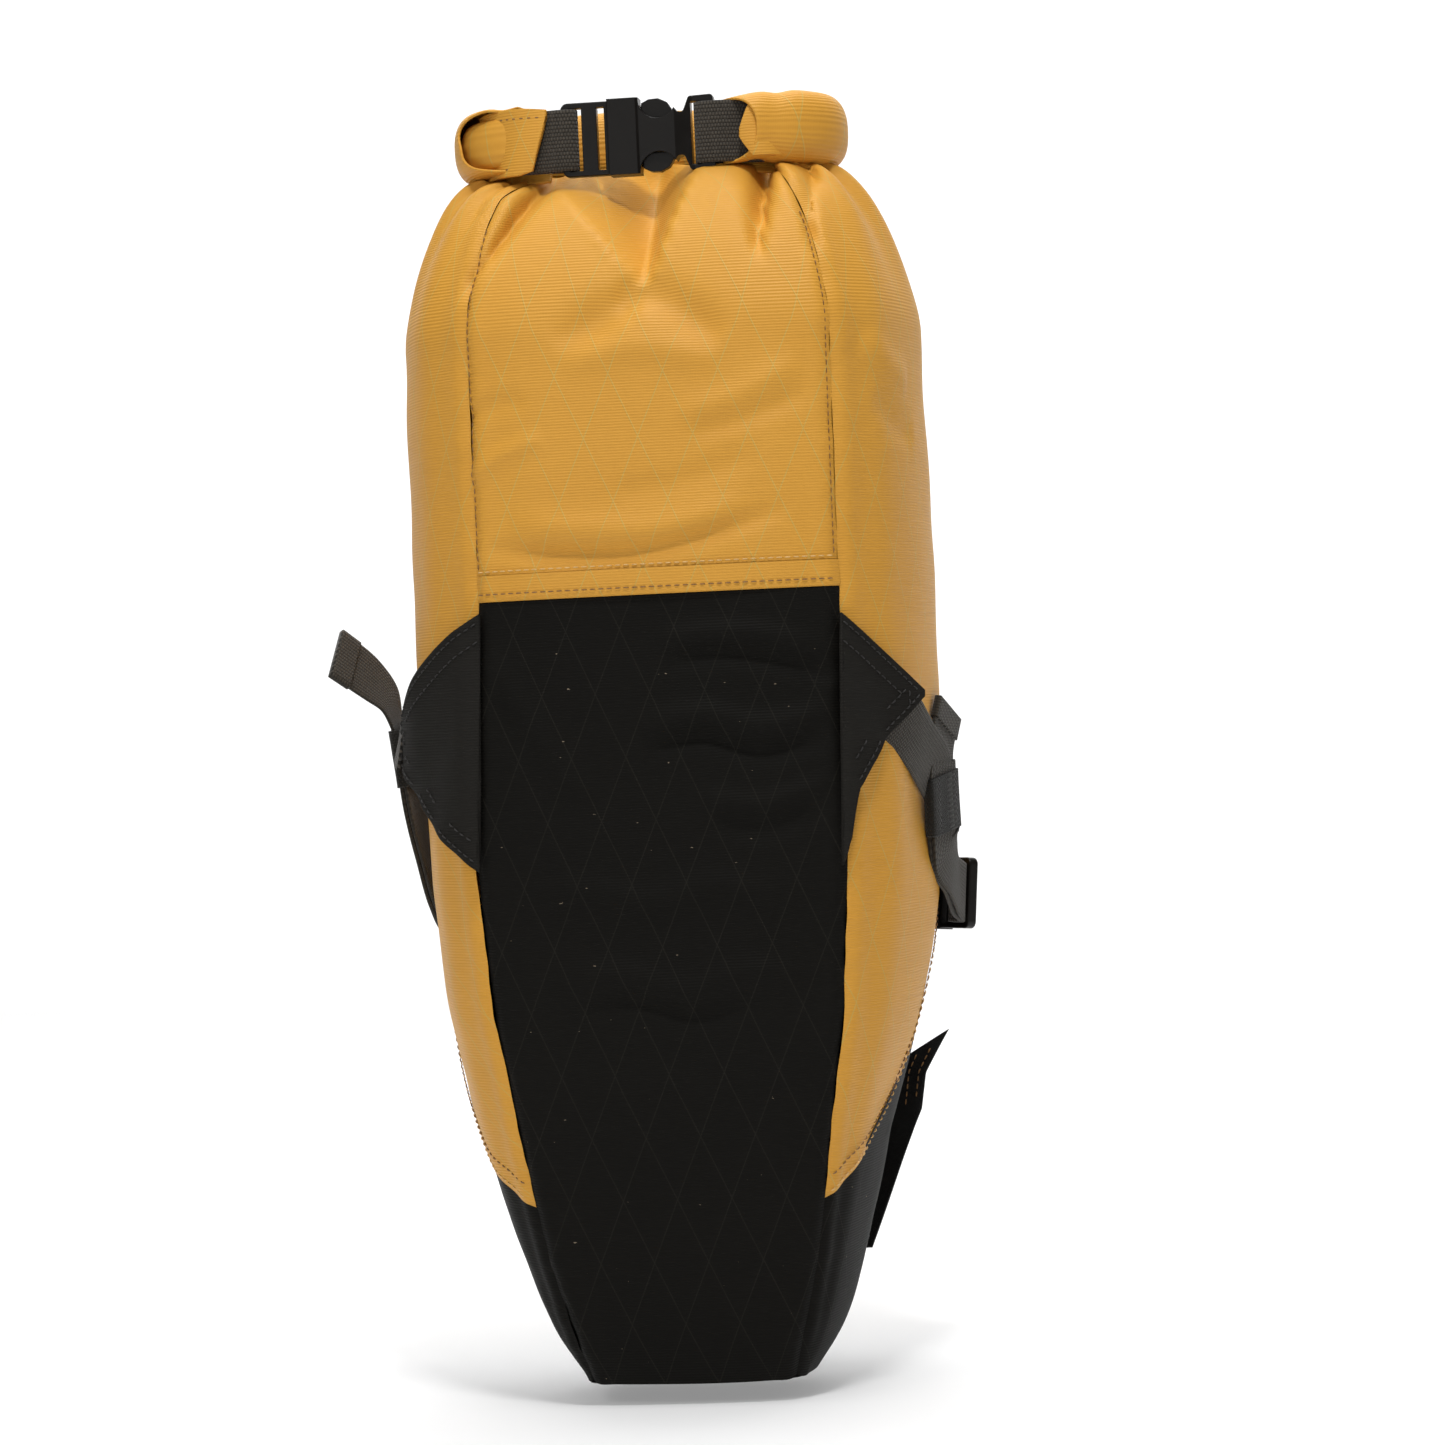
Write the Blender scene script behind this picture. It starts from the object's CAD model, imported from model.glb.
import math
from functools import partial

import bmesh
import bpy
import numpy as np
from mathutils import Matrix, Vector


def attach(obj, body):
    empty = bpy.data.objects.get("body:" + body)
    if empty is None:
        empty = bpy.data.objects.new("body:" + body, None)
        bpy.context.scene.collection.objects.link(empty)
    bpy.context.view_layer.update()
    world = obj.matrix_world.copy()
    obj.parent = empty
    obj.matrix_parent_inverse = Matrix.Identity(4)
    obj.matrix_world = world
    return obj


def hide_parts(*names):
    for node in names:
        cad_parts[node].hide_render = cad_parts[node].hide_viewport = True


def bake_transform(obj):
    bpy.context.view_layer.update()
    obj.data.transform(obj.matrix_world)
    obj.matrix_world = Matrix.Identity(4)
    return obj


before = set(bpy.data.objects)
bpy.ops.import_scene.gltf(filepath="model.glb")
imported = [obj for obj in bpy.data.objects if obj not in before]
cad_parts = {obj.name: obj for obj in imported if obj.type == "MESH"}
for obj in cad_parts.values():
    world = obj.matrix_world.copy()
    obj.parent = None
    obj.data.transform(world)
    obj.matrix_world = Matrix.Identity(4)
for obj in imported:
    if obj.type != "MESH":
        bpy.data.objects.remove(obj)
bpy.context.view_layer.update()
MM = 0.001

# ---------- shape of the bag
# height, half-widths at the front seam, widest point and back seam, then y of the same three (mm)
ROWS = np.array([
    (0, 42, 47, 42, -46, -12, 24),
    (14, 48, 57, 50, -54, -8, 32),
    (50, 55, 74, 62, -62, 0, 46),
    (100, 63, 90, 72, -70, 2, 64),
    (150, 71, 100, 78, -75, 2, 78),
    (220, 76, 106, 82, -78, 2, 84),
    (330, 76, 108, 82, -80, 2, 86),
    (430, 76, 107, 80, -78, 2, 84),
    (520, 76, 106, 80, -77, 2, 83),
], float)
SEAM_Z = (0, 50, 100, 150, 220, 320, 520)
SEAM_LEFT = (42, 55, 63, 71, 76, 69.5, 70)
SEAM_RIGHT = (42, 55, 63, 71, 76, 77.5, 78)
NOSE_SEAM = [
    (-110, 48), (-70, 70), (-45, 88), (-25, 106), (-8, 128), (4, 160), (30, 185), (60, 198), (110, 205),
]
NOSE_BACK_Z = 205
HEM_Z = 320
MOUTH_Z = 494
SIM_FROM = 236
SIM_FRAMES = 26
SIM_CAP = 3.5
COLS = 144
ROW_STEP = 4.6
# columns of the four long seams: right front, right back, left back, left front; column 0 is the front middle
FRONT_R, BACK_R, BACK_L, FRONT_L = 19, 53, 91, 125


def cubic_fit(x, y, at):
    """Smooth cubic through table rows, evaluated at many heights."""
    x, y, at = np.asarray(x, float), np.asarray(y, float), np.asarray(at, float)
    slope = np.gradient(y, x)
    i = np.clip(np.searchsorted(x, at, side="right") - 1, 0, len(x) - 2)
    h = x[i + 1] - x[i]
    t = (at - x[i]) / h
    a = (2 * t**3 - 3 * t**2 + 1) * y[i]
    b = (t**3 - 2 * t**2 + t) * h * slope[i]
    c = (-2 * t**3 + 3 * t**2) * y[i + 1]
    d = (t**3 - t**2) * h * slope[i + 1]
    return a + b + c + d


def catmull(points, samples, closed=False):
    """Points along a Catmull-Rom curve through the given points."""
    p = np.asarray(points, float)
    n = len(p)
    span = n if closed else n - 1
    t = np.linspace(0, span, samples, endpoint=not closed)
    i = np.minimum(t.astype(int), span - 1)
    f = (t - i)[:, None]

    def at(k):
        return p[k % n] if closed else p[np.clip(k, 0, n - 1)]

    p0, p1, p2, p3 = at(i - 1), at(i), at(i + 1), at(i + 2)
    if not closed:
        p0 = np.where((i == 0)[:, None], 2 * p1 - p2, p0)
        p3 = np.where((i == n - 2)[:, None], 2 * p2 - p1, p3)
    bend = (2 * p0 - 5 * p1 + 4 * p2 - p3) * f**2
    return 0.5 * (2 * p1 + (p2 - p0) * f + bend + (3 * p1 - p0 - 3 * p2 + p3) * f**3)


def running_length(line):
    """Distance from the start at every point of a line."""
    return np.concatenate([[0], np.cumsum(np.linalg.norm(np.diff(line, axis=0), axis=1))])


def arc_resample(line, count):
    """Evenly spaced points along a line, and its length."""
    s = running_length(line)
    at = np.linspace(0, s[-1], count)
    return np.stack([np.interp(at, s, line[:, k]) for k in range(line.shape[1])], 1), s[-1]


def tangents(line):
    """Unit direction of travel at every point of a line."""
    t = np.gradient(line, axis=0)
    return t / np.linalg.norm(t, axis=1, keepdims=True)


def section(z):
    """Closed outline of the filled bag at a height, COLS points, with the seams on fixed columns."""
    _, widest, back, yf, ym, yb = [cubic_fit(ROWS[:, 0], ROWS[:, k], [z])[0] for k in range(1, 7)]
    left = np.interp(z, SEAM_Z, SEAM_LEFT)
    right = np.interp(z, SEAM_Z, SEAM_RIGHT)
    slim = np.interp(z, [10, 28, 60, 95, 140, 170, 195], [0, 2, 6.5, 9, 5, 2, 0])

    def side(sign, seam):
        wm = widest - slim if sign > 0 else widest
        wb = back - 0.5 * slim if sign > 0 else back
        return [
            (sign * 0.55 * seam, yf - 4), (sign * 0.86 * seam, yf - 1.2), (sign * seam, yf + 2.6),
            (sign * (seam + 0.30 * (wm - seam)), yf + 0.14 * (ym - yf) + 1.5),
            (sign * (seam + 0.68 * (wm - seam)), yf + 0.38 * (ym - yf)), (sign * wm, ym),
            (sign * (wb + 0.62 * (wm - wb)), ym + 0.62 * (yb - ym)),
            (sign * wb, yb - 7), (sign * 0.5 * wb, yb),
        ]

    r, l = side(1, right), side(-1, left)
    loop = [(0, yf - 5)] + r + [(0, yb + 1)] + l[::-1]
    per_point = 40
    fine = catmull(loop, len(loop) * per_point, closed=True)
    fine = np.vstack([fine, fine[:1]])
    marks = [k * per_point for k in (0, 3, 8, 12, 17, 20)]
    columns = [0, FRONT_R, BACK_R, BACK_L, FRONT_L, COLS]
    out = []
    for m in range(5):
        piece = fine[marks[m]:marks[m + 1] + 1]
        out.append(arc_resample(piece, columns[m + 1] - columns[m] + 1)[0][:-1])
    xy = np.vstack(out)
    return np.column_stack([xy, np.full(len(xy), z)])


Z_LEVELS = np.concatenate([[0, 2, 5, 9, 14], np.arange(18, 520, ROW_STEP)])
# plan lines the gathered mouth follows under the roll, seam to seam, going round from the left front seam
FRONT_LINE = [(-45, -36), (-30, -35), (-14, -35), (2, -35), (18, -36), (34, -38), (47, -39)]
RIGHT_LINE = [(47, -39), (57, -36), (65, -27), (68, -13), (67, 2), (58, 12)]
BACK_LINE = [(58, 12), (30, 16), (0, 17), (-30, 16), (-58, 12)]
LEFT_LINE = [(-58, 12), (-67, 2), (-69, -12), (-65, -26), (-57, -33.5), (-45, -36)]


def mouth_line():
    """Plan position of every column where the bag disappears under the roll, with pleats."""
    target = np.zeros((COLS, 3))
    parts = (
        (FRONT_L - COLS, FRONT_R, FRONT_LINE, 0.8, 3), (FRONT_R, BACK_R, RIGHT_LINE, 5.5, 5),
        (BACK_R, BACK_L, BACK_LINE, 3.0, 6), (BACK_L, FRONT_L, LEFT_LINE, 5.5, 5),
    )
    for c0, c1, path, depth, pleats in parts:
        line = arc_resample(catmull(path, 300), c1 - c0 + 1)[0]
        tangent = tangents(line)
        for k in range(c1 - c0):
            f = k / (c1 - c0)
            phase = 2 * math.pi * (pleats * f + 0.12 * math.sin(7 * f))
            wave = depth * math.sin(phase) * math.sin(math.pi * f) ** 0.5
            x = line[k, 0] + tangent[k, 1] * wave
            y = line[k, 1] - tangent[k, 0] * wave
            target[(c0 + k) % COLS] = (x, y, MOUTH_Z)
    return target


GATHER_FROM = 428
VALLEY_FROM, VALLEY_DEPTH = 446, 52


def gather(grid):
    """Draw the top of the bag in to the mouth line and press the deep middle fold behind the buckle."""
    out = grid.copy()
    target = mouth_line()
    for r, z in enumerate(Z_LEVELS):
        t = np.clip((z - GATHER_FROM) / (Z_LEVELS[-1] - GATHER_FROM), 0, 1)
        if t > 0:
            w = t**1.35
            out[r, :, :2] = grid[r, :, :2] * (1 - w) + target[:, :2] * w
            out[r, :, 2] = GATHER_FROM + (MOUTH_Z - GATHER_FROM) * math.sin(t * math.pi / 2) ** 0.95
    x, z = out[..., 0].copy(), out[..., 2]
    front = np.clip((-18 - out[..., 1]) / 12, 0, 1)
    full = MOUTH_Z - 2
    # centre, its drift with height, reach to the left and right, depth and starting height of each side fold
    for centre, drift, left, right, depth, low in (
        (50, 1, 6, 4.5, 26, 452), (-72, 34, 6, 7, 16, 440), (72, -4, 4, 4, 9, 450),
    ):
        rise = np.clip((z - low) / (full - low), 0, 1)
        across = x - centre - drift * rise
        reach = np.where(across < 0, left, right) * (0.3 + 0.7 * rise)
        out[..., 1] += front * depth * rise**0.8 / (1 + (across / reach) ** 2) ** 1.5
    # the wide middle fold is a valley with straight walls, its right one steeper
    rise = np.clip((z - VALLEY_FROM) / (full - VALLEY_FROM), 0, 1)
    across = x - 5 + 2 * rise
    wall = np.abs(across) / (np.where(across < 0, 38, 20) * (0.1 + 0.9 * rise))
    valley = front * np.clip(1.08 - np.sqrt(wall**2 + 0.03), 0, 1) * rise**0.75
    out[..., 1] += VALLEY_DEPTH * valley
    out[..., 2] += 7 * valley * rise**6
    # below the left end's way out the edge lies a little lower
    low_lip = np.clip((z - 484) / 8, 0, 1) * np.exp(-(((x + 40) / 24) ** 4))
    out[..., 2] -= 3 * (low_lip * np.clip((-30 - out[..., 1]) / 6, 0, 1))
    # the right strap bears on the soft side
    y = out[..., 1]
    dent = 5.0 * np.exp(-(((y + 18) / 24) ** 2) - ((z - 238) / 26) ** 2) * (x > 80)
    out[..., 0] -= dent
    return out


def grid_faces(rows, cols, wrap=False):
    """Quads between neighbouring points of a grid, closed round each row if asked."""
    return [
        (r * cols + c, r * cols + (c + 1) % cols, (r + 1) * cols + (c + 1) % cols, (r + 1) * cols + c)
        for r in range(rows - 1) for c in range(cols if wrap else cols - 1)
    ]


def mesh_object(name, verts, faces, uvs=None, material=None):
    """Smooth mesh object from points in metres and faces, with UVs in millimetres."""
    mesh = bpy.data.meshes.new(name)
    mesh.from_pydata([tuple(v) for v in verts], [], [tuple(f) for f in faces])
    if uvs is not None:
        layer = mesh.uv_layers.new(name="UVMap")
        loops = np.zeros(len(mesh.loops), int)
        mesh.loops.foreach_get("vertex_index", loops)
        layer.data.foreach_set("uv", np.asarray(uvs, float)[loops].ravel())
    mesh.polygons.foreach_set("use_smooth", [True] * len(mesh.polygons))
    mesh.update()
    if material:
        mesh.materials.append(material)
    obj = bpy.data.objects.new(name, mesh)
    bpy.context.scene.collection.objects.link(obj)
    return obj


def register(obj, body, nodes=()):
    """Tie a piece to its body and the CAD nodes that it stands for."""
    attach(obj, body)
    if nodes:
        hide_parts(*nodes)


def simulate(grid, shaped):
    """Settle the gathered cloth: springs keep the sewn lengths while air pressure holds the body out."""
    first = int(np.searchsorted(Z_LEVELS, SIM_FROM))
    part = shaped[first:]
    rows, cols = part.shape[:2]
    obj = mesh_object("cloth_run", part.reshape(-1, 3) * MM, grid_faces(rows, cols, wrap=True))
    pin = obj.vertex_groups.new(name="pin")
    pin.add(list(range(3 * cols)), 1.0, "REPLACE")
    pin.add(list(range((rows - 1) * cols, rows * cols)), 1.0, "REPLACE")
    obj.shape_key_add(name="Basis")
    sewn = obj.shape_key_add(name="sewn")
    sewn.data.foreach_set("co", (grid[first:].reshape(-1, 3) * MM).ravel())
    sewn.value = 0
    cloth = obj.modifiers.new("Cloth", "CLOTH")
    s = cloth.settings
    s.quality = 8
    s.mass = 0.25
    s.tension_stiffness = 12
    s.compression_stiffness = 6
    s.shear_stiffness = 4
    s.bending_stiffness = 4.0
    s.tension_damping = s.compression_damping = s.shear_damping = 10
    s.air_damping = 4
    s.vertex_group_mass = "pin"
    s.rest_shape_key = sewn
    s.use_pressure = True
    s.uniform_pressure_force = 2.0
    s.effector_weights.gravity = 0
    cloth.collision_settings.use_collision = False
    cloth.collision_settings.use_self_collision = False
    cloth.point_cache.frame_end = SIM_FRAMES
    scene = bpy.context.scene
    for f in range(1, SIM_FRAMES + 1):
        scene.frame_set(f)
    evaluated = obj.evaluated_get(bpy.context.evaluated_depsgraph_get())
    co = np.zeros(rows * cols * 3)
    evaluated.to_mesh().vertices.foreach_get("co", co)
    bpy.data.objects.remove(obj, do_unlink=True)
    scene.frame_set(1)
    delta = co.reshape(rows, cols, 3) / MM - part
    length = np.linalg.norm(delta, axis=2, keepdims=True)
    ease = np.clip((Z_LEVELS[first:] - SIM_FROM) / 60, 0, 1)[:, None, None]
    delta *= np.minimum(1, SIM_CAP / np.maximum(length, 1e-6)) * ease
    out = shaped.copy()
    out[first:] = part + delta
    return out


REST = np.stack([section(z) for z in Z_LEVELS])
GRID = gather(REST)
GRID = simulate(REST, GRID)


def grid_point(u, v):
    """Bicubic position on the bag's skin at column u and row v (arrays)."""
    u, v = np.broadcast_arrays(np.asarray(u, float), np.asarray(v, float))
    rows = len(Z_LEVELS)
    iu, iv = np.floor(u).astype(int), np.clip(np.floor(v).astype(int), 0, rows - 2)
    fu, fv = u - iu, v - iv

    def weights(f):
        return [
            (-f + 2 * f**2 - f**3) / 2, (2 - 5 * f**2 + 3 * f**3) / 2,
            (f + 4 * f**2 - 3 * f**3) / 2, (-f**2 + f**3) / 2,
        ]

    out = np.zeros(u.shape + (3,))
    wu, wv = weights(fu), weights(fv)
    for a in range(4):
        row = np.clip(iv + a - 1, 0, rows - 1)
        for b in range(4):
            col = (iu + b - 1) % COLS
            out += GRID[row, col] * (wv[a] * wu[b])[..., None]
    return out


def row_of(z):
    """Row coordinate of a fabric height in mm."""
    return np.interp(z, Z_LEVELS, np.arange(len(Z_LEVELS)))


def noise(x, y, seed):
    """Smooth repeatable noise from a few rotated sine waves."""
    waves = 6
    rng = np.random.RandomState(seed)
    total = np.zeros(np.broadcast(x, y).shape)
    for _ in range(waves):
        a = rng.uniform(0, 2 * math.pi)
        k = rng.uniform(0.6, 1.6)
        total += np.sin(k * (x * math.cos(a) + y * math.sin(a)) + rng.uniform(0, 6.28))
    return total / math.sqrt(waves)


def bump_along(u, v, path, width, height):
    """Height of a crease that follows a path of (u mm, v mm) points; positive is a ridge."""
    curve = catmull(path, 60)
    d = np.full(u.shape, 1e9)
    where = np.zeros(u.shape)
    for k in range(len(curve) - 1):
        a, b = curve[k], curve[k + 1]
        ab = b - a
        t = np.clip(((u - a[0]) * ab[0] + (v - a[1]) * ab[1]) / (ab @ ab), 0, 1)
        dist = np.hypot(u - a[0] - t * ab[0], v - a[1] - t * ab[1])
        near = dist < d
        d = np.where(near, dist, d)
        where = np.where(near, (k + t) / (len(curve) - 1), where)
    ends = np.clip(np.minimum(where, 1 - where) / 0.25, 0, 1)
    return height * np.exp(-((d / width) ** 2)) * (ends * (2 - ends))


# ---------- materials
def new_material(name):
    material = bpy.data.materials.new(name)
    material.use_nodes = True
    tree = material.node_tree
    return material, tree, tree.nodes["Principled BSDF"]


def maths(tree, operation, a, b=None, c=None, clamp=False):
    made = tree.nodes.new("ShaderNodeMath")
    made.operation = operation
    made.use_clamp = clamp
    for i, value in enumerate((a, b, c)):
        if value is None:
            continue
        if isinstance(value, (int, float)):
            made.inputs[i].default_value = value
        else:
            tree.links.new(value, made.inputs[i])
    return made.outputs[0]


def mix_colour(tree, factor, a, b):
    made = tree.nodes.new("ShaderNodeMix")
    made.data_type = "RGBA"
    for socket, value in ((made.inputs[0], factor), (made.inputs[6], a), (made.inputs[7], b)):
        if isinstance(value, (int, float)):
            socket.default_value = value
        elif isinstance(value, tuple):
            socket.default_value = (*value, 1)
        else:
            tree.links.new(value, socket)
    return made.outputs[2]


def uv_mm(tree):
    """UV in millimetres as two sockets."""
    coordinates = tree.nodes.new("ShaderNodeTexCoord")
    split = tree.nodes.new("ShaderNodeSeparateXYZ")
    tree.links.new(coordinates.outputs["UV"], split.inputs[0])
    return split.outputs[0], split.outputs[1]


def noise_socket(tree, scale, detail=3, stretch=(1, 1, 1), roughness=0.55):
    coordinates = tree.nodes.new("ShaderNodeTexCoord")
    mapping = tree.nodes.new("ShaderNodeMapping")
    mapping.inputs["Scale"].default_value = stretch
    tree.links.new(coordinates.outputs["Object"], mapping.inputs[0])
    made = tree.nodes.new("ShaderNodeTexNoise")
    made.inputs["Scale"].default_value = scale
    made.inputs["Detail"].default_value = detail
    made.inputs["Roughness"].default_value = roughness
    tree.links.new(mapping.outputs[0], made.inputs["Vector"])
    return made.outputs["Fac"]


def line_family(tree, u, v, sign):
    """Thin slanted threads of the diamond grid: 1 on the thread."""
    width, height, half_width = 22, 51, 0.34
    m = partial(maths, tree)
    phase = m("ADD", m("DIVIDE", u, width), m("DIVIDE", v, sign * height))
    part = m("ABSOLUTE", m("SUBTRACT", m("FRACT", phase), 0.5))
    distance = m("MULTIPLY", part, width * math.cos(math.atan2(width, height)))
    return m("SUBTRACT", 1, m("DIVIDE", distance, half_width, clamp=True), clamp=True)


def add_bump(tree, shader, height, strength, distance):
    made = tree.nodes.new("ShaderNodeBump")
    made.inputs["Strength"].default_value = strength
    made.inputs["Distance"].default_value = distance
    tree.links.new(height, made.inputs["Height"])
    tree.links.new(made.outputs[0], shader.inputs["Normal"])
    return made


def laminate(name, base, dark, line_colour, line_strength, rough, rib_strength, lint, gloss):
    """Woven outer face with fine crosswise ribs and a grid of thin diamond threads."""
    material, tree, shader = new_material(name)
    m = partial(maths, tree)
    rib_pitch, warp_pitch = 1.15, 0.62
    u, v = uv_mm(tree)
    lines = m("MAXIMUM", line_family(tree, u, v, 1), line_family(tree, u, v, -1))
    broken = m("MULTIPLY", noise_socket(tree, 900, 1), 0.9)
    lines = m("MULTIPLY", lines, m("ADD", 0.45, broken, clamp=True))
    ribs = m("SINE", m("MULTIPLY", v, 2 * math.pi / rib_pitch))
    warp = m("SINE", m("MULTIPLY", u, 2 * math.pi / warp_pitch))
    weave = m("ADD", m("MULTIPLY", ribs, 0.8), m("MULTIPLY", warp, 0.08))
    cloudy = noise_socket(tree, 14, 4)
    shade = m("ADD", m("MULTIPLY", cloudy, 0.7), m("MULTIPLY", noise_socket(tree, 420, 3), 0.3))
    colour = mix_colour(tree, m("MULTIPLY_ADD", weave, 0.05, shade, clamp=True), dark, base)
    colour = mix_colour(tree, m("MULTIPLY", lines, line_strength), colour, line_colour)
    if lint:
        specks = m("GREATER_THAN", noise_socket(tree, 260, 2, (1, 1, 2.4)), 0.775)
        colour = mix_colour(tree, m("MULTIPLY", specks, lint), colour, (0.30, 0.24, 0.17))
    tree.links.new(colour, shader.inputs["Base Color"])
    tree.links.new(m("MULTIPLY_ADD", cloudy, 0.16, rough - 0.08), shader.inputs["Roughness"])
    shader.inputs["Specular IOR Level"].default_value = gloss
    height = m("ADD", m("MULTIPLY", weave, rib_strength), m("MULTIPLY", lines, 0.55))
    height = m("ADD", height, m("MULTIPLY", noise_socket(tree, 60, 4), 1.6))
    add_bump(tree, shader, height, 0.35, 0.0004)
    return material


def webbing_material(name, base, light, pitch_u, pitch_v):
    """Woven tape: small raised bars in offset columns."""
    material, tree, shader = new_material(name)
    m = partial(maths, tree)
    u, v = uv_mm(tree)
    column = m("ABSOLUTE", m("SINE", m("MULTIPLY", u, math.pi / pitch_u)))
    shift = m("MULTIPLY", m("FLOOR", m("DIVIDE", u, pitch_u)), math.pi / 2)
    row = m("ABSOLUTE", m("SINE", m("MULTIPLY_ADD", v, math.pi / pitch_v, shift)))
    weave = m("MULTIPLY", m("POWER", column, 0.5), m("POWER", row, 0.6))
    fuzz = noise_socket(tree, 700, 3)
    colour = mix_colour(tree, m("MULTIPLY", weave, m("ADD", fuzz, 0.3), clamp=True), base, light)
    tree.links.new(colour, shader.inputs["Base Color"])
    shader.inputs["Roughness"].default_value = 0.72
    shader.inputs["Sheen Weight"].default_value = 0.15
    shader.inputs["Specular IOR Level"].default_value = 0.08
    add_bump(tree, shader, m("ADD", weave, m("MULTIPLY", fuzz, 0.25)), 0.8, 0.0005)
    return material


def plastic_material():
    """Moulded plastic, its edges rounded in the shading."""
    material, tree, shader = new_material("moulded_plastic")
    grain = noise_socket(tree, 1500, 2)
    cloudy = noise_socket(tree, 90, 3)
    colour = mix_colour(tree, cloudy, (0.0045, 0.0038, 0.0032), (0.0085, 0.0072, 0.0060))
    tree.links.new(colour, shader.inputs["Base Color"])
    tree.links.new(maths(tree, "MULTIPLY_ADD", cloudy, 0.14, 0.24), shader.inputs["Roughness"])
    shader.inputs["Specular IOR Level"].default_value = 0.2
    bevel = tree.nodes.new("ShaderNodeBevel")
    bevel.samples = 6
    bevel.inputs["Radius"].default_value = 0.0006
    bump = add_bump(tree, shader, grain, 0.12, 0.0002)
    tree.links.new(bevel.outputs[0], bump.inputs["Normal"])
    return material


def thread_material(name, colour, light):
    material, tree, shader = new_material(name)
    tree.links.new(mix_colour(tree, noise_socket(tree, 1200, 2), colour, light), shader.inputs["Base Color"])
    shader.inputs["Roughness"].default_value = 0.6
    return material


def fuzz_material(name, base, light):
    material, tree, shader = new_material(name)
    fuzz = noise_socket(tree, 1100, 5, roughness=0.8)
    tree.links.new(mix_colour(tree, fuzz, base, light), shader.inputs["Base Color"])
    shader.inputs["Roughness"].default_value = 0.95
    shader.inputs["Sheen Weight"].default_value = 0.06
    shader.inputs["Specular IOR Level"].default_value = 0.1
    add_bump(tree, shader, fuzz, 1.0, 0.0012)
    return material


OCHRE = laminate(
    "ochre_laminate", (0.66, 0.33, 0.046), (0.57, 0.27, 0.033), (0.46, 0.40, 0.12), 0.62, 0.5, 0.6, 0, 0.2,
)
BLACK = laminate(
    "black_laminate", (0.0085, 0.0079, 0.0066), (0.0055, 0.0051, 0.0043), (0.026, 0.024, 0.019),
    0.5, 0.6, 0.5, 0.7, 0.05,
)
WING_COLOUR = (0.0170, 0.0158, 0.0135)
WING = laminate("wing_fabric", WING_COLOUR, (0.0120, 0.0110, 0.0095), WING_COLOUR, 0.0, 0.7, 0.8, 0, 0.08)
WEBBING = webbing_material("strap_webbing", (0.010, 0.009, 0.007), (0.085, 0.073, 0.058), 1.55, 1.25)
ELASTIC = webbing_material("keeper_elastic", (0.008, 0.0074, 0.006), (0.022, 0.020, 0.016), 1.1, 0.9)
PLASTIC = plastic_material()
THREAD_DARK = thread_material("thread_brown", (0.15, 0.066, 0.014), (0.28, 0.14, 0.04))
THREAD_GOLD = thread_material("thread_gold", (0.55, 0.32, 0.09), (0.75, 0.50, 0.20))
THREAD_BLACK = thread_material("thread_black", (0.006, 0.005, 0.005), (0.02, 0.018, 0.016))
HOOK = fuzz_material("hook_and_loop", (0.0028, 0.0026, 0.0022), (0.011, 0.010, 0.0085))


# ---------- the body's panels
# distance round each row of the rest shape from the front middle, per column
ROUND = np.linalg.norm(np.roll(REST, -1, axis=1) - REST, axis=2)
ARC = np.concatenate([np.zeros((len(REST), 1)), np.cumsum(ROUND, axis=1)], axis=1)


def arc_at(u, v):
    """Distance in mm round the bag at column u (may be negative or past COLS), row v."""
    turns = np.floor(u / COLS)
    c = u - turns * COLS
    ic = np.clip(c.astype(int), 0, COLS - 1)
    iv = np.clip(v.astype(int), 0, len(REST) - 2)
    fc, fv = c - ic, v - iv
    low = ARC[iv, ic] * (1 - fc) + ARC[iv, ic + 1] * fc
    high = ARC[iv + 1, ic] * (1 - fc) + ARC[iv + 1, ic + 1] * fc
    whole = ARC[iv, -1] * (1 - fv) + ARC[iv + 1, -1] * fv
    return low * (1 - fv) + high * fv + turns * whole


def skin(u, v, offset):
    """Point on the bag's skin moved outward by offset mm, and the normal."""
    p = grid_point(u, v)
    du = grid_point(u + 0.05, v) - grid_point(u - 0.05, v)
    dv = grid_point(u, v + 0.05) - grid_point(u, np.maximum(v - 0.05, 0))
    n = np.cross(du, dv)
    n /= np.maximum(np.linalg.norm(n, axis=-1, keepdims=True), 1e-9)
    return p + n * np.asarray(offset)[..., None], n


def folds(x, z):
    """Hand-placed creases of the filled bag, x mm round from the front middle and z mm of fabric height."""
    h = np.zeros(x.shape)
    for path, width, height in CREASES:
        h += bump_along(x, z, path, width, height)
    return h


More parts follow.
